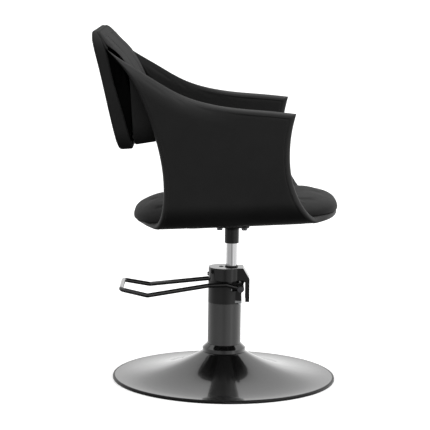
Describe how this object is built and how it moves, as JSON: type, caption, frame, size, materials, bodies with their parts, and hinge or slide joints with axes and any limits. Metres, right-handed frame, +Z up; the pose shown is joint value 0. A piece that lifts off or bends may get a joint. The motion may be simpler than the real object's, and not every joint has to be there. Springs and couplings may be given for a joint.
{
  "type": "styling chair",
  "caption": "Salon styling chair with a wrap-round arm shell, padded back, pumped lifting column, foot bar and round flared base.",
  "frame": {"origin": "on the floor under the column's axis, at the centre of the base", "axes": "+X is the way the chair faces, +Z is up, and XZ is the chair's plane of symmetry"},
  "size_m": [0.645, 0.6, 0.9404],
  "materials": {
    "black_leather": "smooth fine-grained black upholstery leather",
    "gloss_black_paint": "high-gloss black paint",
    "black_cast": "semi-gloss black paint over cast metal",
    "chrome": "polished hard chrome",
    "zinc_steel": "bright zinc plate",
    "bronze": "machined bearing bronze",
    "cast_iron": "rough cast, oiled",
    "black_rubber": "matt black rubber",
    "black_board": "matt black covering board",
    "plywood": "raw plywood"
  },
  "bodies": {
    "stand": {"rim_ring": "black_rubber", "base_dome": "gloss_black_paint", "floor_pad": "black_rubber", "base_plate": "cast_iron", "base_bolts": "zinc_steel", "base_collar": "gloss_black_paint", "pump_barrel": "gloss_black_paint", "pump_foot": "zinc_steel", "ram_cylinder": "zinc_steel", "pump_head": "gloss_black_paint", "gland_bush": "bronze", "rod_seal": "black_rubber", "gland_ring": "zinc_steel", "release_valve": "bronze", "valve_plate": "zinc_steel", "valve_screws": "zinc_steel", "plunger_guide": "bronze", "pivot_pin": "zinc_steel", "pivot_nuts": "zinc_steel", "pump_hood": "gloss_black_paint", "oil_plug": "zinc_steel", "hood_screw": "zinc_steel"},
    "lift": {"ram_piston": "zinc_steel", "piston_seal": "black_rubber", "thrust_washer": "zinc_steel"},
    "seat": {"ram_rod": "chrome", "seat_socket": "black_cast", "flange_bolts": "zinc_steel", "seat_bracket": "black_cast", "dust_cover": "black_board", "cover_screws": "zinc_steel", "seat_board": "plywood", "tee_nuts": "zinc_steel", "arm_shell": "black_leather", "seat_cushion": "black_leather", "front_boxing": "black_leather", "rear_boxing": "black_leather", "back_rear_pad": "black_leather", "back_front_pad": "black_leather", "back_core": "black_board", "back_brackets": "black_cast", "back_screws": "zinc_steel"},
    "pedal": {"pedal_yoke": "black_cast", "pedal_bar": "gloss_black_paint"},
    "plunger": {"plunger": "zinc_steel", "plunger_spring": "zinc_steel"}
  },
  "joints": [
    {"name": "seat_lift", "type": "slide", "parent": "stand", "child": "lift", "axis": [0, 0, 1], "range_m": [-0.057, 0.095]},
    {"name": "seat_swivel", "type": "hinge", "parent": "lift", "child": "seat", "pos_m": [0.017, 0, 0.112], "axis": [0, 0, 1], "continuous": true},
    {"name": "pedal_pivot", "type": "hinge", "parent": "stand", "child": "pedal", "pos_m": [0.042, 0, 0.254], "axis": [0, -1, 0], "range_deg": [-4, 16]},
    {"name": "plunger_stroke", "type": "slide", "parent": "stand", "child": "plunger", "axis": [0, 0, 1], "range_m": [-0.008, 0.0022], "deforming": ["plunger_spring"]}
  ],
  "couplings": [
    {"joint": "plunger_stroke", "follows": "pedal_pivot", "m_per_rad": -0.0265}
  ]
}
